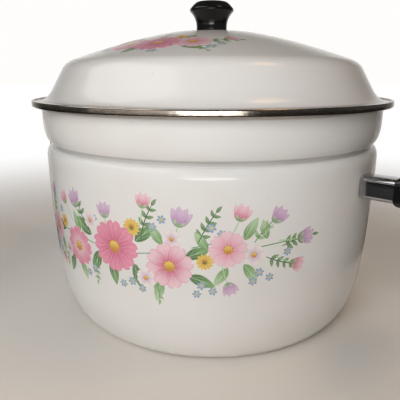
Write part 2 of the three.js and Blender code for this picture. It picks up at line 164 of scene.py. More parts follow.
class Wire:
    """A socket in a node tree. Sums and products of wires and numbers add Math nodes to the tree."""

    def __init__(self, tree, socket=None):
        self.tree = tree
        self.socket = socket

    def node(self, kind, settings=None, sockets=None, output=0):
        """Any other node, from its type, its settings, and the values or wires of its sockets."""
        made = self.tree.nodes.new(kind)
        for key, value in (settings or {}).items():
            setattr(made, key, value)
        for key, value in (sockets or {}).items():
            socket = Wire.find(made.inputs, key)
            for each in value if isinstance(value, list) else [value]:
                if isinstance(each, Wire):
                    self.tree.links.new(each.socket, socket)
                else:
                    socket.default_value = each
        return Wire(self.tree, Wire.find(made.outputs, output))

    @staticmethod
    def find(sockets, key):
        if isinstance(key, int):
            return sockets[key]
        return next(s for s in sockets if s.identifier == key)

    def math(self, operation, first, second=0.0):
        return self.node("ShaderNodeMath", {"operation": operation}, {0: first, 1: second})

    def __add__(self, other):
        return self.math("ADD", self, other)

    def __sub__(self, other):
        return self.math("SUBTRACT", self, other)

    def __rsub__(self, other):
        return self.math("SUBTRACT", other, self)

    def __mul__(self, other):
        return self.math("MULTIPLY", self, other)

    def __truediv__(self, other):
        return self.math("DIVIDE", self, other)

    def __pow__(self, other):
        return self.math("POWER", self, other)

    def __abs__(self):
        return self.math("ABSOLUTE", self)

    __radd__ = __add__
    __rmul__ = __mul__


def finish(name, constants):
    """A new material, its shader, and the place on the piece that its patterns read."""
    material = bpy.data.materials.new(name)
    material.use_nodes = True
    shader = material.node_tree.nodes["Principled BSDF"]
    for socket, value in constants.items():
        shader.inputs[socket].default_value = value
    place = Wire(material.node_tree).node("ShaderNodeTexCoord", output="Object")
    return material, shader, place


def feed(shader, wires):
    for socket, wire in wires.items():
        wire.tree.links.new(wire.socket, shader.inputs[socket])


def noise(place, scale, detail=2.0, stretch=(1, 1, 1)):
    laid = place.node("ShaderNodeMapping", None, {"Vector": place, "Scale": stretch})
    return laid.node("ShaderNodeTexNoise", None, {"Vector": laid, "Scale": scale, "Detail": detail}, "Fac")


def cells(place, scale, output="Distance"):
    return place.node("ShaderNodeTexVoronoi", None, {"Vector": place, "Scale": scale}, output)


def rise(value, low, high):
    """0 below low, 1 above high, and a soft step between them."""
    limits = {"Value": value, "From Min": low, "From Max": high}
    return value.node("ShaderNodeMapRange", {"interpolation_type": "SMOOTHSTEP"}, limits)


def mixed(share, first, second):
    colours = {"Factor_Float": share, "A_Color": first, "B_Color": second}
    return share.node("ShaderNodeMix", {"data_type": "RGBA"}, colours, "Result_Color")


def relief(height, distance, strength=1.0):
    return height.node("ShaderNodeBump", None, {"Strength": strength, "Distance": distance, "Height": height})


def split(place):
    parts = place.node("ShaderNodeSeparateXYZ", None, {"Vector": place})
    sockets = parts.socket.node.outputs
    return [Wire(place.tree, socket) for socket in sockets]


def glass_enamel(name, heated, crease_shades):
    """Fired white enamel: faint clouding, orange peel, iron specks, tan heat marks that end between two
    heights, and painted shade: a mottled grey darkening round given heights, in the creases and joins where
    shade falls."""
    material, shader, place = finish(name, {"IOR": 1.52, "Specular IOR Level": 0.36})
    cloud = noise(place, 9.0, 4.0)
    grain = noise(place, 700.0, 2.0)
    colour = mixed(rise(cloud, 0.35, 0.75), ENAMEL_WHITE, ENAMEL_CREAM)
    height = split(place)[2]
    full, none = heated
    heat = (1 - rise(height, full * MM, none * MM)) * rise(noise(place, 26.0, 5.0), 0.38, 0.72)
    colour = mixed(heat * 0.55, colour, FLAME_TAN)
    # Painted shade: mottled grey darkening laid round each given height, at creases and joins where shade
    # falls.
    for level, reach in crease_shades:
        near = 1 - rise(abs(height - level * MM), 0.3 * reach * MM, reach * MM)
        colour = mixed(near * (0.30 + 0.35 * noise(place, 30.0, 4.0)), colour, CREASE_SHADE_GREY)
    chosen = rise(noise(place, 60.0, 1.0), 0.62, 0.66)
    speck = (1 - rise(cells(place, 190.0), 0.03, 0.065)) * chosen
    colour = mixed(speck * 0.8, colour, IRON_SPECK)
    rubbed = rise(noise(place, 34.0, 6.0), 0.56, 0.74)
    rough = 0.10 + 0.05 * cloud + 0.07 * rubbed + 0.25 * heat
    peel = 0.75 * noise(place, 120.0, 1.0) + 0.1 * grain - 0.4 * speck
    feed(shader, {"Base Color": colour, "Roughness": rough, "Normal": relief(peel, 0.00005, 0.6)})
    return material


quarter = [math.radians(-90 + (90 + CORNER_LEAVES) * i / CORNER_STEPS) for i in range(CORNER_STEPS + 1)]
corner = [(BASE_RADIUS + CORNER_REACH * math.cos(a), CORNER_HEIGHT * (1 + math.sin(a))) for a in quarter]
groove_start, groove_lip = (WALL_RADIUS, GROOVE_LOW - GROOVE_ROUND), (WALL_RADIUS, GROOVE_LOW - GROOVE_LIP)
collar_foot = (COLLAR_RADIUS - COLLAR_HOLLOW, GROOVE_HIGH + COLLAR_FOOT)
flange_start, flange_knee = (COLLAR_RADIUS, FLANGE_LEVEL - FLANGE_BEND), (COLLAR_RADIUS, FLANGE_LEVEL)
pot_outside = softened([
    (0, BASE_DISH),
    (BASE_RING - BASE_RING_WIDTH, BASE_DISH),
    (BASE_RING, 0),
    *corner,
    *bend(corner[-1], WALL_SWELL, (WALL_RADIUS, WALL_STRAIGHT), steps=14)[1:],
    *bend(groove_start, groove_lip, (GROOVE_RADIUS, GROOVE_LOW), steps=16),
    *bend((GROOVE_RADIUS, GROOVE_HIGH), collar_foot, (COLLAR_RADIUS, COLLAR_LOW), steps=18),
    *bend(flange_start, flange_knee, (FLANGE_FLAT, FLANGE_LEVEL), steps=10),
    (FLANGE_RADIUS, FLANGE_LEVEL),
], SHEET_ROUND)
pot_inside = beside(pot_outside, SHEET)[::-1]
pot_inside[-1] = (0, BASE_DISH + SHEET)
pot_shell = turned("pot_shell", pot_outside + pot_inside)
pot_shell.data.materials.append(glass_enamel("pot_enamel", POT_HEAT, POT_CREASE_SHADE))
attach(pot_shell, "pot")
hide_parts("pot_body")


# Flower print on the wall. A ceramic transfer in several inks, laid on the fired enamel and fired again:
# each petal, leaf and stem is a thin film of coloured glass that follows the wall.
INK_FILM, INK_STEP = 0.03, 0.012
BLADE_ENDS = 0.94
RAY_BESIDE, RAY_ABOVE, RAY_LENGTH = 0.02, 0.3, 0.2
LEAF_WIDTH, STEM_WIDTH, STEM_LAYER = 0.21, 0.36, 3
LONG_SPRIG, LONG_LEAF = 19.5, 16
ROSE = (0.64, 0.10, 0.22, 1)
PINK = (0.78, 0.27, 0.38, 1)
BLUSH = (0.84, 0.56, 0.61, 1)
MAUVE = (0.46, 0.22, 0.45, 1)
LILAC = (0.66, 0.47, 0.62, 1)
CREAM = (0.84, 0.76, 0.72, 1)
PINE = (0.065, 0.175, 0.045, 1)
LEAF = (0.16, 0.33, 0.105, 1)
SAGE = (0.43, 0.60, 0.33, 1)
LEMON = (0.82, 0.56, 0.10, 1)
AMBER = (0.58, 0.25, 0.03, 1)
POWDER = (0.42, 0.55, 0.68, 1)
SLATE = (0.22, 0.33, 0.46, 1)
VEIN = (0.9, 0.86, 0.80, 1)
MIDRIB = (0.66, 0.74, 0.50, 1)


def tree_with(name, inputs):
    """A new Geometry Nodes tree and the wires of its named inputs."""
    tree = bpy.data.node_groups.new(name, "GeometryNodeTree")
    for title, kind in inputs.items():
        tree.interface.new_socket(title, in_out="INPUT", socket_type="NodeSocket" + kind)
    tree.interface.new_socket("Made", in_out="OUTPUT", socket_type="NodeSocketGeometry")
    start = tree.nodes.new("NodeGroupInput")
    return tree, {socket.name: Wire(tree, socket) for socket in start.outputs if socket.name}


def close_tree(tree, made, material):
    """Ends a tree: its instances made real, and its material set."""
    real = made.node("GeometryNodeRealizeInstances", None, {"Geometry": made})
    painted = real.node("GeometryNodeSetMaterial", None, {"Geometry": real, "Material": material})
    end = tree.nodes.new("NodeGroupOutput")
    tree.links.new(painted.socket, end.inputs[0])


def plain_mesh(piece):
    """What a piece's modifiers make, as a plain mesh. The modifiers are removed."""
    graph = bpy.context.evaluated_depsgraph_get()
    mesh = bpy.data.meshes.new_from_object(piece.evaluated_get(graph), depsgraph=graph)
    piece.modifiers.clear()
    return mesh


def grown(name, points, tree, values):
    """What a tree makes on a mesh of points."""
    source = linked(name + "_points", points)
    modifier = source.modifiers.new(name, "NODES")
    modifier.node_group = tree
    for item in tree.interface.items_tree:
        if item.in_out == "INPUT" and item.name in values:
            modifier[item.identifier] = values[item.name]
    mesh = plain_mesh(source)
    bpy.data.objects.remove(source)
    return shown(name, mesh)


def brush_tree():
    """Lays one tapered film for each point, bent to its numbers and wrapped on the enamel."""
    tree, given = tree_with("brush", {
        "Points": "Geometry", "Enamel": "Object", "Upright": "Bool", "Radius": "Float",
        "Film": "Float", "Step": "Float", "Ink": "Material"})
    wire = Wire(tree)

    def number(name):
        return wire.node("GeometryNodeInputNamedAttribute", {"data_type": "FLOAT"}, {"Name": name})

    def stored(geometry, name, value):
        sockets = {"Geometry": geometry, "Name": name, "Value": value}
        return wire.node("GeometryNodeStoreNamedAttribute", {"data_type": "FLOAT"}, sockets)

    def joined(x, y, z):
        return wire.node("ShaderNodeCombineXYZ", None, {"X": x, "Y": y, "Z": z})

    def chosen(first, second):
        sockets = {"Switch": given["Upright"], "False": first, "True": second}
        return wire.node("GeometryNodeSwitch", {"input_type": "VECTOR"}, sockets)

    blade = wire.node("GeometryNodeMeshCube", None, {
        "Size": (1, 1, 1), "Vertices X": 5, "Vertices Y": 11, "Vertices Z": 2})
    x, y, z = split(wire.node("GeometryNodeInputPosition"))
    eased = 0.5 - 0.5 * wire.math("COSINE", (0.5 + BLADE_ENDS * y) * math.pi)
    blade = stored(blade, "across", 2.0 * x)
    blade = stored(blade, "along", eased)
    blade = stored(blade, "top", 0.5 + z)
    strokes = wire.node("GeometryNodeInstanceOnPoints", None, {"Points": given["Points"], "Instance": blade})
    strokes = wire.node("GeometryNodeRealizeInstances", None, {"Geometry": strokes})

    across, along, top = number("across"), number("along"), number("top")
    root, tip, long = number("root"), number("tip"), number("long")
    widest = root / (root + tip)
    width = number("wide") * (along / widest) ** root * ((1 - along) / (1 - widest)) ** tip
    right = across * width + number("bend") * long * along * along
    up = long * (along + number("notch") * along ** 3.0 * across * across)
    turn = number("turn")
    sine, cosine = wire.math("SINE", turn), wire.math("COSINE", turn)
    u = number("place_u") + right * cosine - up * sine
    v = number("place_v") + right * sine + up * cosine

    round_by = u / given["Radius"]
    away, near = wire.math("SINE", round_by), wire.math("COSINE", round_by)
    reach = given["Radius"] + RAY_BESIDE
    inner = given["Radius"] - v
    above = joined(inner * away, -1 * inner * near, RAY_ABOVE)
    source = chosen(above, joined(reach * away, -1 * reach * near, v))
    inward = chosen((0, 0, -1), joined(-1 * away, near, 0.0))
    enamel = wire.node("GeometryNodeObjectInfo", None, {"Object": given["Enamel"]}, "Geometry")
    hit = wire.node("GeometryNodeRaycast", None, {
        "Target Geometry": enamel, "Source Position": source, "Ray Direction": inward,
        "Ray Length": RAY_LENGTH}, "Hit Position")
    outward = Wire(tree, Wire.find(hit.socket.node.outputs, "Hit Normal"))
    lift = top * (given["Film"] + given["Step"] * number("layer")) - (1 - top) * given["Film"]
    raised = wire.node("ShaderNodeVectorMath", {"operation": "SCALE"}, {"Vector": outward, "Scale": lift})
    laid = wire.node("ShaderNodeVectorMath", {"operation": "ADD"}, {"Vector": hit, "Vector_001": raised})
    strokes = wire.node("GeometryNodeSetPosition", None, {"Geometry": strokes, "Position": laid})
    close_tree(tree, strokes, given["Ink"])
    return tree


class Transfer:
    """The strokes of one print, in millimetres along and up the enamel."""

    def __init__(self, shift):
        self.shift = shift
        self.strokes = []

    def stroke(self, u, v, turn, long, wide, tint, tip_tint,
               root=0.9, tip=0.6, bend=0.0, notch=0.0, rib=0.0, layer=0):
        self.strokes.append({
            "place_u": (u + self.shift) * MM, "place_v": v * MM, "turn": math.radians(turn),
            "long": long * MM, "wide": wide * MM, "root": root, "tip": tip, "bend": bend, "notch": notch,
            "rib": rib, "layer": layer, "tint": tint, "tip_tint": tip_tint})

    def leaf(self, u, v, turn, long, dark=LEAF, pale=SAGE, bend=0.08, layer=0):
        self.stroke(u, v, turn, long, LEAF_WIDTH * long, dark, pale, 0.75, 1.0, bend, rib=1.0, layer=layer)

    def stem(self, u, v, turn, long, bend=0.1, shade=LEAF, layer=0):
        self.stroke(u, v, turn, long, STEM_WIDTH, shade, shade, 0.12, 0.12, bend, layer=layer + STEM_LAYER)

    def disc(self, u, v, size, tint, tip_tint, layer):
        self.stroke(u, v - size / 2, 0, size, size / 2, tint, tip_tint, 0.5, 0.5, layer=layer)

    def daisy(self, u, v, size, turn, deep, pale, layer, petals=8):
        for k in range(petals):
            self.stroke(u, v, turn + 360 * k / petals, size / 2, size * 1.42 / petals, deep, pale,
                        0.85, 0.34, 0.04, 0.10, 0.35, layer + k % 2)
        self.disc(u, v, size * 0.24, AMBER, LEMON, layer + 2)
        for k in range(9):
            angle = math.radians(40 * k + turn)
            self.disc(u - size * 0.135 * math.sin(angle), v + size * 0.135 * math.cos(angle), size * 0.045,
                      AMBER, AMBER, layer + 3)

    def tulip(self, u, v, size, turn, deep, pale, layer):
        self.stem(u, v, turn + 180, size * 1.3, 0.12, SAGE)
        for lean in (42, -42):
            self.leaf(u, v, turn + lean, size * 0.42, layer=layer + 6)
        petals = ((24, 0.94, 0.22), (-24, 0.94, 0.22), (9, 1.0, 0.22), (-9, 1.0, 0.22), (0, 0.86, 0.25))
        for k, (lean, long, wide) in enumerate(petals):
            self.stroke(u, v, turn + lean, size * long, size * wide, deep, pale, 0.55, 0.8,
                        -lean * 0.006, rib=0.35, layer=layer + k)

    def star(self, u, v, size, turn, layer):
        for k in range(6):
            self.stroke(u, v, turn + 60 * k, size / 2, size * 0.15, POWDER, SLATE, 0.6, 0.75,
                        rib=0.2, layer=layer)
        self.disc(u, v, size * 0.26, LEMON, LEMON, layer + 1)

    def pompon(self, u, v, size, turn, layer):
        for ring, (count, long) in enumerate(((13, 0.5), (9, 0.34))):
            for k in range(count):
                self.stroke(u, v, turn + 360 * k / count + 17 * ring, size * long, size * 0.085, AMBER, LEMON,
                            0.7, 0.45, rib=0.2, layer=layer + ring)
        self.disc(u, v, size * 0.24, PINE, AMBER, layer + 2)

    def sprig(self, u, v, turn, long, pairs, dark=LEAF, pale=SAGE, bend=0.15, layer=0):
        self.stem(u, v, turn, long, bend, dark, layer)
        sine, cosine = math.sin(math.radians(turn)), math.cos(math.radians(turn))

        def spot(share):
            right, up = bend * long * share * share, long * share
            heading = turn - math.degrees(math.atan(2 * bend * share))
            return u + right * cosine - up * sine, v + right * sine + up * cosine, heading

        for k in range(pairs):
            share = (k + 0.8) / (pairs + 0.4)
            leaf_u, leaf_v, heading = spot(share)
            for side in (52, -52):
                self.leaf(leaf_u, leaf_v, heading + side, long * (0.30 - 0.10 * share), dark, pale,
                          layer=layer + 1)
        self.leaf(*spot(1), long * 0.24, dark, pale, layer=layer + 1)

    def mirror(self, beyond):
        """Copies the strokes past a place on the right to the left end of the print."""
        for stroke in [stroke for stroke in self.strokes if stroke["place_u"] > beyond * MM]:
            flipped = {key: -stroke[key] for key in ("place_u", "turn", "bend")}
            self.strokes.append({**stroke, **flipped})

    def points(self, name):
        mesh = bpy.data.meshes.new(name)
        mesh.from_pydata([(0, 0, 0)] * len(self.strokes), [], [])
        for key, sample in self.strokes[0].items():
            colour = isinstance(sample, tuple)
            values = mesh.attributes.new(key, "FLOAT_COLOR" if colour else "FLOAT", "POINT").data
            listed = [stroke[key] for stroke in self.strokes]
            if colour:
                values.foreach_set("color", [part for each in listed for part in each])
            else:
                values.foreach_set("value", [float(each) for each in listed])
        return mesh


def printed_ink(name):
    """Ink that runs from a root colour to a tip colour, with veins, a fine outline and a printed grain."""
    material, shader, place = finish(name, {"IOR": 1.52})

    def read(attribute, output="Fac"):
        return place.node("ShaderNodeAttribute", {"attribute_name": attribute}, None, output)

    across, along, rib = read("across"), read("along"), read("rib")
    colour = mixed(rise(along, 0.08, 0.92), read("tint", "Color"), read("tip_tint", "Color"))
    wander = noise(place, 240.0, 2.0)
    veins = place.math("SINE", abs(across) * 11.0 - along * 16.0 * rib + wander * 4.0)
    colour = mixed(rise(veins, 0.55, 1.0) * 0.22 * rise(rib, 0.05, 0.5), colour, VEIN)
    midrib = (1 - rise(abs(across), 0.03, 0.11)) * rise(rib, 0.6, 0.9) * (1 - rise(along, 0.7, 0.95))
    colour = mixed(midrib * 0.6, colour, MIDRIB)
    edge = rise(abs(across), 0.80, 0.97)
    colour = mixed(edge * 0.38, colour, read("tint", "Color"))
    dots = rise(cells(place, 1500.0), 0.25, 0.62)
    colour = mixed(dots * 0.10, colour, ENAMEL_WHITE)
    feed(shader, {"Base Color": colour, "Roughness": 0.13 + 0.05 * wander + 0.04 * dots,
                  "Normal": relief(dots, 0.000008, 0.5)})
    return material


def greens(deep):
    return (PINE, LEAF) if deep else (LEAF, SAGE)


wall_print = Transfer(40)
wall_print.stem(-112, 82, -88, 60, -0.03)
wall_print.stem(-58, 86, -96, 62, 0.10)
wall_print.stem(2, 82, -82, 60, -0.08)
wall_print.stem(58, 84, -74, 47, 0.12)
for u, v, turn, long, pairs, curve in (
        (-100, 84, 58, 20, 4, 0.15), (-86, 86, 10, 19, 4, 0.2), (-66, 76, 150, 19, 4, -0.2),
        (-40, 92, 14, 22, 4, -0.15), (-34, 74, 196, 18, 4, 0.2), (6, 92, -10, 23, 4, 0.18),
        (14, 70, -160, 18, 4, 0.2), (42, 92, -22, 22, 4, 0.12), (76, 92, -30, 19, 4, 0.2),
        (84, 82, -118, 20, 4, -0.15), (94, 88, -66, 22, 5, 0.2)):
    wall_print.sprig(u, v, turn, long, pairs, *greens(long > LONG_SPRIG), curve)
for u, v, turn, long in (
        (-28, 78, 160, 19), (-18, 74, -166, 18), (-34, 88, 62, 18), (2, 90, -46, 18), (0, 74, 200, 17),
        (34, 82, -62, 17), (36, 70, -108, 18), (18, 66, 172, 16), (-60, 68, 164, 17), (-68, 84, 80, 17),
        (-50, 66, 208, 15), (70, 94, -24, 16), (70, 78, -142, 16), (-92, 78, 136, 14), (-46, 88, 30, 15),
        (20, 90, 36, 15), (60, 76, 150, 15), (-78, 76, 196, 14), (84, 94, 20, 13), (48, 88, 40, 14)):
    wall_print.leaf(u, v, turn, long, *greens(long > LONG_LEAF), layer=2)
for u, v, size, turn in (
        (30, 102, 13, -16), (-48, 104, 13, 22), (88, 104, 11, -36), (-84, 105, 11, 30),
        (106, 92, 11, -84), (-20, 102, 11, 6), (60, 66, 10, -158)):
    wall_print.tulip(u, v, size, turn, MAUVE, LILAC, 3)
for u, v, size, turn in (
        (-110, 90, 11, 62), (66, 106, 11, -20), (102, 76, 10, -110), (-78, 62, 10, 150),
        (8, 112, 10, -6), (-62, 104, 10, 40)):
    wall_print.tulip(u, v, size, turn, ROSE, BLUSH, 3)
for u, v, size in (
        (-2, 62, 6.5), (5, 58, 6), (-9, 59, 6), (44, 64, 6.5), (51, 60, 6), (41, 58, 6), (-34, 64, 6.5),
        (-41, 59, 6), (80, 72, 6.5), (87, 68, 6), (76, 66, 6), (-90, 68, 6.5), (-97, 73, 6), (-84, 64, 6),
        (20, 106, 6), (14, 101, 6), (-30, 100, 6), (50, 102, 6.5), (56, 98, 6), (-72, 98, 6), (98, 84, 6),
        (-102, 98, 6)):
    wall_print.star(u, v, size, 11 * u, 4)
wall_print.pompon(0, 99, 12, 0, 4)
wall_print.pompon(46, 80, 11, 20, 9)
wall_print.pompon(-68, 90, 10, 8, 4)
for u, v, size, turn in (
        (-34, 98, 11, 12), (26, 94, 11, 30), (8, 66, 12, 5), (76, 84, 13, 22), (-66, 70, 12, 17),
        (-98, 86, 12, 0)):
    wall_print.daisy(u, v, size, turn, LILAC, CREAM, 5, 6)
wall_print.daisy(60, 88, 22, 9, PINK, BLUSH, 6)
wall_print.daisy(-84, 82, 20, 20, PINK, BLUSH, 6)
wall_print.daisy(-50, 76, 26, 4, BLUSH, PINK, 6)
wall_print.daisy(24, 76, 28, 16, ROSE, BLUSH, 6)
wall_print.daisy(-14, 84, 32, 0, ROSE, PINK, 10)
wall_print.mirror(80)
brush = brush_tree()
ink = printed_ink("transfer_ink")
wall_flowers = grown("wall_flowers", wall_print.points("wall_strokes"), brush, {
    "Enamel": pot_shell, "Upright": True, "Radius": WALL_RADIUS * MM, "Film": INK_FILM * MM,
    "Step": INK_STEP * MM, "Ink": ink})
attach(wall_flowers, "pot")


# Trim of the pot's mouth. A thin channel of polished stainless steel, rolled round the flange's raw edge
# and crimped on, with hairlines from the buffing wheel all the way round.
TRIM_LIP, TRIM_GAP, TRIM_COVER = 0.5, 0.2, 1.4
TRIM_ROUND, TRIM_STEPS = 0.9, 8
TRIM_HEIGHT = 2 * TRIM_LIP + 2 * TRIM_GAP + SHEET
POT_TRIM_RADIUS = FLANGE_RADIUS + TRIM_GAP + TRIM_LIP
STEEL_BRIGHT = (0.51, 0.445, 0.38, 1)
STEEL_DULL = (0.28, 0.238, 0.195, 1)
STEEL_SCRATCH = (0.75, 0.74, 0.72, 1)
pot_trim_section = softened([
    (FLANGE_RADIUS - TRIM_COVER, RIM - TRIM_HEIGHT),
    (POT_TRIM_RADIUS, RIM - TRIM_HEIGHT),
    (POT_TRIM_RADIUS, RIM),
    (FLANGE_RADIUS - TRIM_COVER, RIM),
], TRIM_ROUND, TRIM_STEPS) + [
    (FLANGE_RADIUS - TRIM_COVER, RIM - TRIM_LIP),
    (FLANGE_RADIUS + TRIM_GAP, RIM - TRIM_LIP),
    (FLANGE_RADIUS + TRIM_GAP, RIM - TRIM_HEIGHT + TRIM_LIP),
    (FLANGE_RADIUS - TRIM_COVER, RIM - TRIM_HEIGHT + TRIM_LIP),
]


def polished_steel(name):
    """Buffed steel: hairlines round the axis, dull patches, fine scratches, and ripples from the crimping."""
    material, shader, place = finish(name, {"Metallic": 1.0})
    hairline = noise(place, 60.0, 3.0, (0.25, 0.25, 60.0))
    patch = noise(place, 22.0, 4.0)
    scratch = rise(noise(place, 150.0, 2.0, (1.0, 1.0, 9.0)), 0.66, 0.72)
    colour = mixed(rise(patch, 0.42, 0.72), STEEL_BRIGHT, STEEL_DULL)
    colour = mixed(scratch * 0.3, colour, STEEL_SCRATCH)
    gloss = 0.13 + 0.10 * rise(patch, 0.45, 0.75) + 0.06 * hairline + 0.10 * scratch
    ripple = 0.25 * hairline + noise(place, 190.0, 3.0)
    feed(shader, {"Base Color": colour, "Roughness": gloss, "Normal": relief(ripple, 0.0002, 0.5)})
    return material


trim_steel = polished_steel("trim_steel")
pot_trim = turned("pot_trim", pot_trim_section, ring=True)
pot_trim.data.materials.append(trim_steel)
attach(pot_trim, "pot")
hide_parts("pot_rim_trim")


# Handle lugs. One short steel bar for each handle, with a foot that is resistance-welded to the wall. It is
# tapped at the outer end for the handle screw, and ferrule and grip hide it.
ZINC = (0.50, 0.50, 0.49, 1)
ZINC_DARK = (0.30, 0.30, 0.31, 1)


def plated_steel(name):
    """Zinc-plated steel: a fine spangle and grey handling marks."""
    material, shader, place = finish(name, {"Metallic": 1.0})
    spangle = cells(place, 900.0)
    stain = noise(place, 140.0, 4.0)
    colour = mixed(rise(stain, 0.4, 0.7), ZINC, ZINC_DARK)
    feed(shader, {"Base Color": colour, "Roughness": 0.26 + 0.12 * spangle + 0.12 * stain,
                  "Normal": relief(spangle, 0.00001, 0.4)})
    return material


zinc_plate = plated_steel("zinc_plate")
SIDES = {"right": 1, "left": -1}
for side in SIDES:
    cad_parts["lug_" + side].material_slots[0].material = zinc_plate


# Ferrules. Rectangular sleeves drawn from brass strip and chromed, coped to the round wall at one end and
# turned in at the other, where the grip butts against them.
HANDLE_HEIGHT = 116.3
FIT_GAP = 0.3
FERRULE_LENGTH, FERRULE_WIDTH, FERRULE_TALL = 22.5, 16.0, 15.5
FERRULE_WALL, FERRULE_CORNER, FERRULE_EASE = 1.0, 3.0, 0.25
FERRULE_TURN = (1.0, 0.3)
CHROME_BRIGHT = (0.46, 0.46, 0.48, 1)
CHROME_HAZE = (0.33, 0.33, 0.35, 1)


def on_handle(hand, x, y, z):
    """A point of a handle, in millimetres out from the wall, across and up, as a place in metres."""
    return (hand * (WALL_RADIUS + x) * MM, hand * y * MM, (HANDLE_HEIGHT + z) * MM)


def section(width, tall, corner, steps=6):
    """A rectangle with rounded corners, as points across and up."""
    middles = ((1, 1, 0), (-1, 1, 90), (-1, -1, 180), (1, -1, 270))
    loop = []
    for across, up, start in middles:
        for i in range(steps + 1):
            angle = math.radians(start + 90 * i / steps)
            loop.append((across * (width / 2 - corner) + corner * math.cos(angle),
                         up * (tall / 2 - corner) + corner * math.sin(angle)))
    return loop


def at_wall(y):
    """Where a line along the handle meets the wall, with room for the fit."""
    return math.sqrt((WALL_RADIUS + FIT_GAP) ** 2 - y * y) - WALL_RADIUS


def tube(name, loops, capped):
    """A mesh through loops of equal length. Its ends are closed, or else the last loop meets the first."""
    count = len(loops[0])
    faces = []
    if capped:
        faces += [tuple(range(count)), tuple(range((len(loops) - 1) * count, len(loops) * count))]
    for k in range(len(loops) - capped):
        here, there = k * count, (k + 1) % len(loops) * count
        for i in range(count):
            j = (i + 1) % count
            faces.append((here + i, there + i, there + j, here + j))
    mesh = bpy.data.meshes.new(name)
    mesh.from_pydata([point for loop in loops for point in loop], [], faces)
    sides = bmesh.new()
    sides.from_mesh(mesh)
    bmesh.ops.recalc_face_normals(sides, faces=sides.faces)
    sides.to_mesh(mesh)
    sides.free()
    return mesh


def chromed(name):
    """Bright chrome: faint haze, finger marks and fine scratches along the sleeve."""
    material, shader, place = finish(name, {"Metallic": 1.0})
    haze = noise(place, 70.0, 4.0)
    scratch = rise(noise(place, 260.0, 2.0, (0.4, 6.0, 6.0)), 0.67, 0.73)
    colour = mixed(rise(haze, 0.45, 0.75), CHROME_BRIGHT, CHROME_HAZE)
    feed(shader, {"Base Color": colour, "Roughness": 0.05 + 0.07 * rise(haze, 0.4, 0.8) + 0.10 * scratch,
                  "Normal": relief(noise(place, 320.0, 2.0), 0.000008, 0.4)})
    return material


chrome_plate = chromed("chrome_plate")
outer, eased, bore = [
    section(FERRULE_WIDTH - 2 * inset, FERRULE_TALL - 2 * inset, FERRULE_CORNER - inset)
    for inset in (0, FERRULE_EASE, FERRULE_WALL)]
for side, hand in SIDES.items():
    loops = [
        [on_handle(hand, at_wall(y), y, z) for y, z in eased],
        [on_handle(hand, at_wall(y) + FERRULE_EASE, y, z) for y, z in outer],
        *[[on_handle(hand, FERRULE_LENGTH - back, y, z) for y, z in outer] for back in FERRULE_TURN],
        [on_handle(hand, FERRULE_LENGTH, y, z) for y, z in eased],
        [on_handle(hand, FERRULE_LENGTH, y, z) for y, z in bore],
        [on_handle(hand, at_wall(y), y, z) for y, z in bore],
    ]
    sleeve = shown(f"sleeve_{side}", tube(f"sleeve_{side}", loops, capped=False))
    sleeve.data.materials.append(chrome_plate)
    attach(sleeve, "pot")
    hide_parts(f"ferrule_{side}")


# Grips. T-shaped mouldings of black phenolic resin with rounded edges: a neck that butts against the ferrule,
# with a pocket for the lug, and a cross bar with a counterbored hole for the screw.
GRIP_REACH, GRIP_NECK, GRIP_BAR, GRIP_SPAN, GRIP_TALL = 40.0, 20.0, 23.0, 80.0, 19.5
GRIP_BOW, GRIP_CROWN = 4.0, 3.6
GRIP_CORNER, GRIP_FILLET, GRIP_ROUND, GRIP_STEPS = 9.0, 9.0, 5.0, 8
LUG_WIDTH, LUG_TALL, LUG_CORNER, LUG_INTO_GRIP = 9.0, 8.0, 1.0, 10.5
SCREW_RADIUS, HOLE_GAP = 2.4, 0.8
COUNTERBORE, COUNTERBORE_DEPTH = 5.4, 9.0
CUT_OVER, CORNER_SHORT = 1, 0.001
RESIN_BLACK = (0.0055, 0.0051, 0.0050, 1)
RESIN_WORN = (0.016, 0.0145, 0.0135, 1)
RESIN_DUST = (0.16, 0.15, 0.14, 1)


def arc(x, y, radius, start, end, steps=10):
    """Points of an arc about a middle, between two angles in degrees."""
    angles = [math.radians(start + (end - start) * i / steps) for i in range(steps + 1)]
    return [(x + radius * math.cos(a), y + radius * math.sin(a)) for a in angles]


def grip_plan():
    """The grip seen from above, out from the ferrule and across, turning anticlockwise."""
    start, end = FERRULE_LENGTH + FIT_GAP, FERRULE_LENGTH + GRIP_REACH
    inside, outside = end - GRIP_BAR, end - GRIP_BOW
    neck, y = GRIP_NECK / 2, GRIP_SPAN / 2 - GRIP_CORNER
    return [
        (start, -neck),
        *arc(inside - GRIP_FILLET, -neck - GRIP_FILLET, GRIP_FILLET, 90, 0),
        *arc(inside + GRIP_CORNER, -y, GRIP_CORNER, 180, 270),
        *arc(outside - GRIP_CORNER, -y, GRIP_CORNER, -90, 0),
        *bend((outside, -y), (end + GRIP_CROWN, 0), (outside, y), steps=24)[1:-1],
        *arc(outside - GRIP_CORNER, y, GRIP_CORNER, 0, 90),
        *arc(inside + GRIP_CORNER, y, GRIP_CORNER, 90, 180),
        *arc(inside - GRIP_FILLET, neck + GRIP_FILLET, GRIP_FILLET, 0, -90),
        (start, neck),
    ]


def round_hole(radius, steps):
    """A circle, as a section whose corners all but meet."""
    return section(2 * radius, 2 * radius, radius - CORNER_SHORT, steps)


def shrunk(loop, distance):
    """A closed anticlockwise outline moved inwards."""
    out = []
    for before, (x, y), after in zip(loop[-1:] + loop[:-1], loop, loop[1:] + loop[:1]):
        into = (x - before[0], y - before[1])
        away = (after[0] - x, after[1] - y)
        a, b = [(-d[1] / math.hypot(*d), d[0] / math.hypot(*d)) for d in (into, away)]
        square = 1 + a[0] * b[0] + a[1] * b[1]
        out.append((x + distance * (a[0] + b[0]) / square, y + distance * (a[1] + b[1]) / square))
    return out


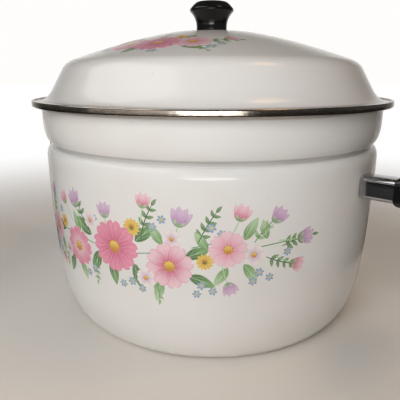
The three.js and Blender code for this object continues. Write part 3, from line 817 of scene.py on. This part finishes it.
def cut_away(piece, hand, start, end, loop):
    """Takes a straight bar of the given section out of a piece, along the handle."""
    bar = [[on_handle(hand, x, y, z) for y, z in loop] for x in (start, end)]
    cutter = linked("cutter", tube("cutter", bar, capped=True))
    modifier = piece.modifiers.new("cut", "BOOLEAN")
    modifier.operation = "DIFFERENCE"
    modifier.object = cutter
    piece.data = plain_mesh(piece)
    bpy.data.objects.remove(cutter)


def phenolic(name, mark):
    """Moulded black resin: fine flow marks, rubbed patches that have lost some gloss, and dust."""
    material, shader, place = finish(name, {"IOR": 1.55, "Specular IOR Level": 0.4})
    flow = noise(place, 90.0, 4.0, mark)
    rubbed = rise(noise(place, 40.0, 5.0), 0.50, 0.72)
    dust = (1 - rise(cells(place, 700.0), 0.05, 0.12)) * rise(noise(place, 120.0, 1.0), 0.58, 0.66)
    colour = mixed(0.6 * rubbed + 0.25 * flow, RESIN_BLACK, RESIN_WORN)
    colour = mixed(dust * 0.25, colour, RESIN_DUST)
    feed(shader, {"Base Color": colour, "Roughness": 0.12 + 0.08 * rubbed + 0.06 * flow + 0.2 * dust,
                  "Normal": relief(flow, 0.00003, 0.5)})
    return material


grip_resin = phenolic("grip_resin", (1.0, 0.5, 2.0))
plan = grip_plan()
grip_start, grip_end = FERRULE_LENGTH + FIT_GAP, FERRULE_LENGTH + GRIP_REACH
lug_end, bore_floor = grip_start + LUG_INTO_GRIP, grip_end - COUNTERBORE_DEPTH
pocket = section(LUG_WIDTH + 2 * FIT_GAP, LUG_TALL + 2 * FIT_GAP, LUG_CORNER, steps=3)
screw_hole = round_hole(SCREW_RADIUS + HOLE_GAP, steps=6)
counterbore = round_hole(COUNTERBORE, steps=10)
for side, hand in SIDES.items():
    rings = []
    for half, first in ((-1, -90), (1, 0)):
        for i in range(GRIP_STEPS + 1):
            angle = math.radians(first + 90 * i / GRIP_STEPS)
            z = half * (GRIP_TALL / 2 - GRIP_ROUND) + GRIP_ROUND * math.sin(angle)
            inset = GRIP_ROUND * (1 - math.cos(angle))
            rings.append([on_handle(hand, x, y, z) for x, y in shrunk(plan, inset)])
    grip = shown(f"moulding_{side}", tube(f"moulding_{side}", rings, capped=True))
    cut_away(grip, hand, grip_start - CUT_OVER, lug_end + FIT_GAP, pocket)
    cut_away(grip, hand, lug_end, bore_floor + CUT_OVER, screw_hole)
    cut_away(grip, hand, bore_floor, grip_end + CUT_OVER, counterbore)
    smoothed(grip.data)
    grip.data.materials.clear()
    grip.data.materials.append(grip_resin)
    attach(grip, "pot")
    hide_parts(f"grip_{side}")


# Handle screws and washers. One cross-head machine screw for each handle, zinc plated, with a plain washer in
# the grip's counterbore. It pulls grip and ferrule against the wall.
SCREW_INTO_LUG = 9.0
SCREW_HEAD, SCREW_HEAD_HEIGHT = 4.4, 3.2
SCREW_WASHER, WASHER_THICK = 4.8, 1.2
SEAT_GAP = 0.1
HEAD_STRAIGHT, HEAD_CROWN, SHANK_INTO_HEAD = 0.55, 0.72, 0.2
CROSS_LONG, CROSS_WIDE, CROSS_DEEP = 1.15, 0.26, 1.1


def screw_tree():
    """Sets a washer and a cross-head screw on each point, with the head towards the point's aim."""
    tree, given = tree_with("screw", {
        "Points": "Geometry", "Shank": "Float", "Length": "Float", "Head": "Float", "Head Height": "Float",
        "Washer": "Float", "Washer Thick": "Float", "Hole": "Float", "Gap": "Float", "Plate": "Material"})
    wire = Wire(tree)

    def rod(radius, depth, low, top_radius=None):
        sockets = {
            "Vertices": 40, "Radius Bottom": radius, "Radius Top": top_radius or radius, "Depth": depth}
        return moved(wire.node("GeometryNodeMeshCone", None, sockets), low)

    def moved(mesh, up, turn=0.0):
        place = wire.node("ShaderNodeCombineXYZ", None, {"Z": up})
        sockets = {"Geometry": mesh, "Translation": place, "Rotation": (0, 0, turn)}
        return wire.node("GeometryNodeTransform", None, sockets)

    def boolean(operation, first, second):
        sockets = {"Mesh 2": second} if operation == "UNION" else {"Mesh 1": first, "Mesh 2": second}
        return wire.node("GeometryNodeMeshBoolean", {"operation": operation}, sockets)

    wide, tall, length = given["Head"], given["Head Height"], given["Length"]
    head_low = given["Washer Thick"] + given["Gap"]
    head_top = head_low + tall
    straight = HEAD_STRAIGHT * tall
    head = rod(wide, straight, head_low)
    crown = rod(wide, (1 - HEAD_STRAIGHT) * tall, head_low + straight, HEAD_CROWN * wide)
    shank = rod(given["Shank"], length + head_low + SHANK_INTO_HEAD * tall, -1 * length)
    screw = boolean("UNION", None, [shank, head, crown])
    slot = wire.node("ShaderNodeCombineXYZ", None, {
        "X": CROSS_LONG * wide, "Y": CROSS_WIDE * wide, "Z": CROSS_DEEP * tall})
    blade = wire.node("GeometryNodeMeshCube", None, {"Size": slot})
    cross = [moved(blade, head_top, math.radians(45)), moved(blade, head_top, math.radians(135))]
    screw = boolean("DIFFERENCE", screw, cross)
    disc = rod(given["Washer"], given["Washer Thick"], 0.0)
    bore = rod(given["Hole"], 3.0 * given["Washer Thick"], -1 * given["Washer Thick"])
    washer = boolean("DIFFERENCE", disc, bore)
    both = wire.node("GeometryNodeJoinGeometry", None, {"Geometry": [screw, washer]})
    aim = wire.node("GeometryNodeInputNamedAttribute", {"data_type": "FLOAT_VECTOR"}, {"Name": "aim"})
    facing = wire.node("FunctionNodeAlignRotationToVector", {"axis": "Z"}, {"Vector": aim})
    placed = wire.node("GeometryNodeInstanceOnPoints", None, {
        "Points": given["Points"], "Instance": both, "Rotation": facing})
    close_tree(tree, placed, given["Plate"])
    return tree


def screw_points(name, seats):
    """A mesh of the places where washers sit, with the way that each screw's head faces."""
    mesh = bpy.data.meshes.new(name)
    mesh.from_pydata([place for place, _ in seats], [], [])
    aims = mesh.attributes.new("aim", "FLOAT_VECTOR", "POINT")
    aims.data.foreach_set("vector", [part for _, aim in seats for part in aim])
    return mesh


washer_seat, thread_end = bore_floor + SEAT_GAP, lug_end - SCREW_INTO_LUG
seats = [(on_handle(hand, washer_seat, 0, 0), (hand, 0.0, 0.0)) for hand in SIDES.values()]
screws = screw_tree()
handle_screws = grown("handle_screws", screw_points("handle_seats", seats), screws, {
    "Shank": SCREW_RADIUS * MM, "Length": (washer_seat - thread_end) * MM, "Head": SCREW_HEAD * MM,
    "Head Height": SCREW_HEAD_HEIGHT * MM, "Washer": SCREW_WASHER * MM, "Washer Thick": WASHER_THICK * MM,
    "Hole": (SCREW_RADIUS + HOLE_GAP) * MM, "Gap": SEAT_GAP * MM, "Plate": zinc_plate})
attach(handle_screws, "pot")
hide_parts(*[f"{kind}_{side}" for kind in ("screw", "washer") for side in SIDES])


# Lid shell. Drawn from the same sheet as the pot and enamelled white all over: a knob seat, a low dome, a
# rounded shoulder, a leaning skirt that flares into a flange, and a lip that centres it in the mouth.
LID_FLANGE_LEVEL = RIM + SEAT_GAP
LID_OVERHANG, LIP_PLAY, LIP_DROP = 3.4, 2.6, 6.0
LID_FLANGE_RADIUS = FLANGE_RADIUS + LID_OVERHANG
LIP_RADIUS = COLLAR_RADIUS - SHEET - LIP_PLAY
SKIRT_HEIGHT, SKIRT_LEAN = 27.2, 15.3
FOOT_RISE, FOOT_REACH = 8.5, 6.6
DOME_HEIGHT, DOME_BULGE, DOME_FALL = 22.5, 0.43, 0.245
SHOULDER_ROUND, SHOULDER_FALL, SHOULDER_RISE = 6.0, 0.8, 0.36
SEAT_RADIUS, SEAT_ROUND = 34.0, 2.0
KNOB_SCREW = 2.0
KNOB_HOLE = KNOB_SCREW + HOLE_GAP
LID_HEAT = (160.0, 166.0)
# Height and reach of painted shade on the lid: the foot of the skirt, where it meets the trim.
LID_CREASE_SHADE = [(169.9, 1.2)]
flange_top = LID_FLANGE_LEVEL + SHEET
shoulder_level = flange_top + SKIRT_HEIGHT
SEAT_LEVEL = shoulder_level + DOME_HEIGHT
shoulder = LIP_RADIUS - SKIRT_LEAN
lean = SKIRT_LEAN / SKIRT_HEIGHT
dome_end = (shoulder - SHOULDER_ROUND, shoulder_level + SHOULDER_ROUND * SHOULDER_RISE)
fall = SHOULDER_ROUND * SHOULDER_FALL
skirt_top = (shoulder + lean * fall, shoulder_level - fall)
skirt_foot = (LIP_RADIUS - lean * FOOT_RISE, flange_top + FOOT_RISE)
bulge = (SEAT_RADIUS + (dome_end[0] - SEAT_RADIUS) * DOME_BULGE, SEAT_LEVEL - DOME_HEIGHT * DOME_FALL)
lid_outside = softened([
    (KNOB_HOLE, SEAT_LEVEL),
    *bend((SEAT_RADIUS, SEAT_LEVEL), bulge, dome_end, steps=40),
    *bend(dome_end, (shoulder, shoulder_level), skirt_top, steps=14)[1:],
    skirt_foot,
], SEAT_ROUND)
lid_inside = beside(lid_outside, -SHEET)[::-1]
lid_inside[-1] = (KNOB_HOLE, SEAT_LEVEL - SHEET)
lid_section = [
    *lid_outside,
    *bend(skirt_foot, (LIP_RADIUS, flange_top), (LIP_RADIUS + FOOT_REACH, flange_top), steps=16)[1:],
    (LID_FLANGE_RADIUS, flange_top),
    (LID_FLANGE_RADIUS, LID_FLANGE_LEVEL),
    (LIP_RADIUS, LID_FLANGE_LEVEL),
    (LIP_RADIUS, LID_FLANGE_LEVEL - LIP_DROP),
    (LIP_RADIUS - SHEET, LID_FLANGE_LEVEL - LIP_DROP),
    (LIP_RADIUS - SHEET, LID_FLANGE_LEVEL),
    *lid_inside,
]
lid_dome = turned("lid_dome", lid_section, ring=True)
lid_dome.data.materials.append(glass_enamel("lid_enamel", LID_HEAT, LID_CREASE_SHADE))
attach(lid_dome, "lid")
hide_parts("lid_shell")


# Flower print on the lid. A ceramic transfer in the same inks as on the wall, laid as a shorter spray on the
# front of the dome and fired.
LID_PRINT_RADIUS = 80.0
lid_print = Transfer(20)
lid_print.stem(-44, 0, -84, 50, 0.06)
lid_print.stem(4, 2, -96, 42, -0.06)
lid_print.sprig(-34, 2, 64, 24, 3)
lid_print.sprig(30, 2, -72, 24, 3, PINE, LEAF)
lid_print.sprig(-6, 6, 24, 20, 3, PINE, LEAF)
lid_print.sprig(18, -2, -130, 20, 3)
for u, v, turn, long in (
        (-22, 4, 130, 20), (-10, -4, 170, 18), (8, 6, -40, 20), (14, -4, -120, 20), (-30, 6, 40, 18)):
    lid_print.leaf(u, v, turn, long, PINE, LEAF, layer=2)
for u, v, size in ((-4, -13, 8), (3, -18, 7), (34, -10, 8), (40, -4, 7), (-42, -8, 8), (-36, -13, 7)):
    lid_print.star(u, v, size, 13 * u, 4)
lid_print.tulip(-46, 8, 13, 60, MAUVE, LILAC, 3)
lid_print.tulip(44, 8, 12, -62, ROSE, BLUSH, 3)
lid_print.pompon(8, 16, 12, 0, 4)
lid_print.daisy(22, 2, 24, 12, PINK, BLUSH, 6)
lid_print.daisy(-24, -2, 24, 0, BLUSH, PINK, 6)
lid_print.daisy(-2, 0, 29, 5, ROSE, PINK, 10)
lid_flowers = grown("lid_flowers", lid_print.points("lid_strokes"), brush, {
    "Enamel": lid_dome, "Upright": False, "Radius": LID_PRINT_RADIUS * MM, "Film": INK_FILM * MM,
    "Step": INK_STEP * MM, "Ink": ink})
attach(lid_flowers, "lid")


# Trim of the lid. A deeper channel of the same polished steel, crimped on the lid's flange, hung round the
# pot's trim and curled under: the bright band between lid and pot.
BAND_DROP, BAND_CURL, BAND_GAP = 2.3, 1.3, 0.4
band_inner, band_web = LID_FLANGE_RADIUS - TRIM_COVER, LID_FLANGE_RADIUS + TRIM_GAP
band_outer = band_web + TRIM_LIP
band_high = flange_top + TRIM_GAP + TRIM_LIP
band_low, band_hem = LID_FLANGE_LEVEL - BAND_DROP, POT_TRIM_RADIUS + BAND_GAP
band_floor, curl = band_low + TRIM_LIP, band_outer - BAND_CURL
band_section = softened([
    (band_hem, band_low),
    *bend((curl, band_low), (band_outer, band_low), (band_outer, band_low + BAND_CURL), steps=14),
    (band_outer, band_high),
    (band_inner, band_high),
], TRIM_ROUND, TRIM_STEPS) + [
    (band_inner, band_high - TRIM_LIP),
    (band_web, band_high - TRIM_LIP),
    *bend((band_web, band_low + BAND_CURL), (band_web, band_floor), (curl, band_floor), steps=14),
    (band_hem, band_floor),
]
lid_trim = turned("lid_trim", band_section, ring=True)
lid_trim.data.materials.append(trim_steel)
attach(lid_trim, "lid")
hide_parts("lid_rim_trim")


# Gasket under the knob. A disc punched from pressed fibre sheet. It lies between knob and lid, and keeps the
# hard resin off the enamel when the screw is pulled up.
GASKET_RADIUS, GASKET_THICK = 11.4, 0.8
FIBRE, FIBRE_PALE = (0.050, 0.040, 0.034, 1), (0.11, 0.09, 0.075, 1)
gasket_low = SEAT_LEVEL + SEAT_GAP
gasket_high = gasket_low + GASKET_THICK
fibre, shader, place = finish("pressed_fibre", {"IOR": 1.45})
strands = noise(place, 420.0, 5.0, (1.0, 3.0, 1.0))
feed(shader, {"Base Color": mixed(strands, FIBRE, FIBRE_PALE), "Roughness": 0.75 + 0.2 * strands,
              "Normal": relief(strands, 0.00008, 0.8)})
gasket = turned("gasket", [
    (KNOB_HOLE, gasket_low),
    (GASKET_RADIUS, gasket_low),
    (GASKET_RADIUS, gasket_high),
    (KNOB_HOLE, gasket_high),
], around=96, ring=True)
gasket.data.materials.append(fibre)
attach(gasket, "lid")
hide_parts("knob_gasket")


# Knob. Black phenolic resin with a waisted neck and a broad rounded top, moulded round a turned brass insert
# that takes the knob's screw.
KNOB_HEIGHT, KNOB_RADIUS, KNOB_NECK, KNOB_NECK_HEIGHT = 23.2, 17.2, 12.0, 4.0
KNOB_WIDEST, KNOB_EDGE, KNOB_WAIST = 15.6, 1.6, 0.7
KNOB_TOP, KNOB_BROW, KNOB_CROWN = 11.0, 2.0, 0.8
KNOB_ROUND, KNOB_STEPS = 1.0, 8
INSERT_RADIUS, INSERT_LENGTH, INSERT_GAP = 4.0, 12.5, 0.2
BRASS, BRASS_DARK = (0.56, 0.40, 0.15, 1), (0.40, 0.27, 0.09, 1)
knob_level = gasket_high + SEAT_GAP
socket_radius, socket_depth = INSERT_RADIUS + INSERT_GAP, INSERT_LENGTH + 2 * SEAT_GAP
crown = KNOB_HEIGHT - KNOB_CROWN
neck_top, widest = (KNOB_NECK, KNOB_NECK_HEIGHT), (KNOB_RADIUS, KNOB_WIDEST)
shares = [1 - i / KNOB_STEPS for i in range(1, KNOB_STEPS)]
knob_section = softened([
    (0, socket_depth),
    (socket_radius, socket_depth),
    (socket_radius, 0),
    (KNOB_NECK, 0),
    *bend(neck_top, (KNOB_NECK, KNOB_WIDEST * KNOB_WAIST), widest, steps=20),
    *bend((KNOB_RADIUS, KNOB_WIDEST + KNOB_EDGE), (KNOB_TOP + KNOB_BROW, crown), (KNOB_TOP, crown), steps=14),
    *[(KNOB_TOP * share, KNOB_HEIGHT - KNOB_CROWN * share ** 2) for share in shares],
    (0, KNOB_HEIGHT),
], KNOB_ROUND)
knob = turned("knob", [(radius, height + knob_level) for radius, height in knob_section], around=96)
knob.data.materials.append(phenolic("knob_resin", (1.0, 1.0, 2.0)))
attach(knob, "lid")
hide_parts("lid_knob")
brass, shader, place = finish("turned_brass", {"Metallic": 1.0})
tooling = noise(place, 90.0, 2.0, (0.3, 0.3, 30.0))
feed(shader, {"Base Color": mixed(tooling, BRASS, BRASS_DARK), "Roughness": 0.25 + 0.2 * tooling,
              "Normal": relief(tooling, 0.00002, 0.5)})
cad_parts["knob_insert"].material_slots[0].material = brass


# Knob screw and washer. One cross-head screw with a plain washer, zinc plated, driven up from inside the lid
# into the knob's insert.
KNOB_SCREW_HEAD, KNOB_HEAD_HEIGHT, KNOB_SCREW_GRIP = 4.2, 2.6, 11.0
KNOB_WASHER, KNOB_WASHER_THICK = 6.5, 0.8
washer_top = SEAT_LEVEL - SHEET - SEAT_GAP
screw_length = knob_level + SEAT_GAP + KNOB_SCREW_GRIP - washer_top
knob_seat = screw_points("knob_seat", [((0, 0, washer_top * MM), (0.0, 0.0, -1.0))])
knob_screw = grown("knob_fixing", knob_seat, screws, {
    "Shank": KNOB_SCREW * MM, "Length": screw_length * MM, "Head": KNOB_SCREW_HEAD * MM,
    "Head Height": KNOB_HEAD_HEIGHT * MM, "Washer": KNOB_WASHER * MM, "Washer Thick": KNOB_WASHER_THICK * MM,
    "Hole": KNOB_HOLE * MM, "Gap": SEAT_GAP * MM, "Plate": zinc_plate})
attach(knob_screw, "lid")
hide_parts("knob_screw", "knob_washer")


# Stage. A pale floor that fades into a white sweep, a window lamp beside the camera, a fill behind the pot
# and a weak warm ceiling lamp. Only shiny surfaces see a lamp at the left, two low strips in front and a dark
# card on the floor, which stand in for a room. The camera is where the photograph was taken.
FLOOR_PALE, FLOOR_LIGHT = (0.80, 0.755, 0.70, 1), (0.83, 0.785, 0.73, 1)
FLOOR_HALF = 9
FADE_START, FADE_END = 0.24, 0.85
CARD_DARK, CARD_GREY = (0.02, 0.02, 0.021, 1), (0.03, 0.029, 0.028, 1)
CARD_TURNS = range(-125, 126, 10)
CARD_NEAR, CARD_FAR, CARD_LEVEL = 0.2, 3.2, 0.001
WHITE, SWEEP_WHITE = (1, 1, 1, 1), (1.0, 0.985, 0.965, 1)
SWEEP_START, SWEEP_END = 0.6, 1.05
FRONT_LIGHT, ROOM_LIGHT = 0.07, 0.06
CEILING_START, CEILING_END, CEILING_DIMS = 0.17, 0.45, 0.85
CAMERA_TURN, CAMERA_YAW, CAMERA_PITCH = math.radians(38.7), math.radians(1.41), math.radians(15.7)
CAMERA_AWAY, CAMERA_UP = 0.377, 0.1879
LENS, SENSOR, CLIP = 39.95, 36, 0.01


def toward(turn, away, up):
    """A place in the studio, by its turn to the left of the camera's line, its distance and its height."""
    angle = CAMERA_TURN - math.radians(turn)
    return (away * math.sin(angle), -away * math.cos(angle), up)


def sheet(name, corners, material):
    """A flat part of the stage."""
    mesh = bpy.data.meshes.new(name)
    mesh.from_pydata(corners, [], [tuple(range(len(corners)))])
    mesh.materials.append(material)
    thing = linked(name, mesh)
    return thing


def backdrop_seen(wire, direction):
    """How white the studio is to the camera, and in a mirror: a sweep behind and a dim room in front."""
    path = wire.node("ShaderNodeLightPath").socket.node
    camera, gloss, glass = [Wire(wire.tree, path.outputs[kind]) for kind in (
        "Is Camera Ray", "Is Glossy Ray", "Is Transmission Ray")]
    x, y, _ = split(direction)
    behind = y * math.cos(CAMERA_TURN) - x * math.sin(CAMERA_TURN)
    sweep = FRONT_LIGHT + (1 - FRONT_LIGHT) * rise(behind, SWEEP_START, SWEEP_END)
    return camera, wire.math("MAXIMUM", gloss, glass) * sweep


floor_paint, shader, place = finish("floor_paint", {"Roughness": 0.6})
feed(shader, {"Base Color": mixed(noise(place, 3.0, 3.0), FLOOR_PALE, FLOOR_LIGHT)})
wire = Wire(floor_paint.node_tree)
away = wire.node("ShaderNodeVectorMath", {"operation": "LENGTH"}, {"Vector": place}, "Value")
heading = wire.node("ShaderNodeVectorMath", {"operation": "NORMALIZE"}, {"Vector": place})
glow = wire.node("ShaderNodeEmission", None, {"Color": WHITE, "Strength": 1.0})
lit = Wire(floor_paint.node_tree, shader.outputs[0])
camera_ray, mirrored = backdrop_seen(wire, heading)
share = wire.math("MAXIMUM", camera_ray, mirrored) * rise(away, FADE_START, FADE_END)
faded = wire.node("ShaderNodeMixShader", None, {0: share, 1: lit, 2: glow})
surface = floor_paint.node_tree.nodes["Material Output"].inputs["Surface"]
floor_paint.node_tree.links.new(faded.socket, surface)
corners = ((-1, -1), (1, -1), (1, 1), (-1, 1))
sheet("floor", [(x * FLOOR_HALF, y * FLOOR_HALF, 0) for x, y in corners], floor_paint)

card_black, shader, place = finish("card_black", {"Roughness": 0.9})
feed(shader, {"Base Color": mixed(noise(place, 5.0, 2.0), CARD_DARK, CARD_GREY)})
near_edge = [toward(turn, CARD_NEAR, CARD_LEVEL) for turn in CARD_TURNS[::-1]]
far_edge = [toward(turn, CARD_FAR, CARD_LEVEL) for turn in CARD_TURNS]
card = sheet("card", near_edge + far_edge, card_black)
card.visible_camera = card.visible_diffuse = card.visible_transmission = card.visible_shadow = False

world = bpy.data.worlds.new("studio")
bpy.context.scene.world = world
world.use_nodes = True
wire = Wire(world.node_tree)
direction = wire.node("ShaderNodeTexCoord", output="Generated")
backdrop = world.node_tree.nodes["Background"]
backdrop.inputs["Color"].default_value = SWEEP_WHITE
camera_ray, mirrored = backdrop_seen(wire, direction)
dimmed = 1 - CEILING_DIMS * rise(split(direction)[2], CEILING_START, CEILING_END)
level = wire.math("MAXIMUM", camera_ray, mirrored * dimmed)
level = wire.math("MAXIMUM", level, ROOM_LIGHT)
world.node_tree.links.new(level.socket, backdrop.inputs["Strength"])


def lamp(name, place, aim, width, tall, power, colour, hidden=None):
    """An area lamp at a place, turned to an aim, which one kind of ray may not see."""
    light = bpy.data.lights.new(name, "AREA")
    light.shape = "RECTANGLE"
    light.size, light.size_y = width, tall
    light.energy, light.color = power, colour
    thing = linked(name, light)
    thing.location = place
    if hidden:
        setattr(thing, hidden, False)
    reach = [a - p for a, p in zip(aim, place)]
    thing.rotation_euler = (math.atan2(math.hypot(reach[0], reach[1]), -reach[2]), 0,
                            math.atan2(reach[1], reach[0]) - math.pi / 2)


lamp("window", toward(15, 0.66, 0.41), (0, 0, 0.12), 0.5, 0.5, 3.5, (0.985, 0.995, 1.0), "visible_glossy")
lamp("fill", toward(176, 1.5, 0.45), (0, 0, 0.05), 1.3, 0.6, 14, (1.0, 0.985, 0.96), "visible_glossy")
lamp("edge", toward(66, 0.9, 1.0), (0.1, 0, 0.12), 1.5, 0.8, 7, (1.0, 1.0, 1.0), "visible_diffuse")
lamp("strip", toward(1, 0.64, 0.158), (0, 0, 0.17), 0.36, 0.09, 0.6, (1.0, 1.0, 1.0), "visible_diffuse")
lamp("sill", toward(25, 0.7, 0.158), (0, 0, 0.17), 1.3, 0.09, 0.3, (1.0, 0.95, 0.9), "visible_diffuse")
lamp("ceiling", toward(-70, 0.6, 1.4), (0, 0, 0.1), 0.36, 0.36, 2.1, (1.0, 0.64, 0.34))

view = bpy.data.cameras.new("camera")
view.lens, view.sensor_width, view.clip_start = LENS, SENSOR, CLIP
camera = linked("camera", view)
camera.location = toward(0, CAMERA_AWAY, CAMERA_UP)
camera.rotation_euler = (math.pi / 2 - CAMERA_PITCH, 0, CAMERA_TURN + CAMERA_YAW)
bpy.context.scene.camera = camera
bpy.context.scene.view_settings.view_transform = "Standard"
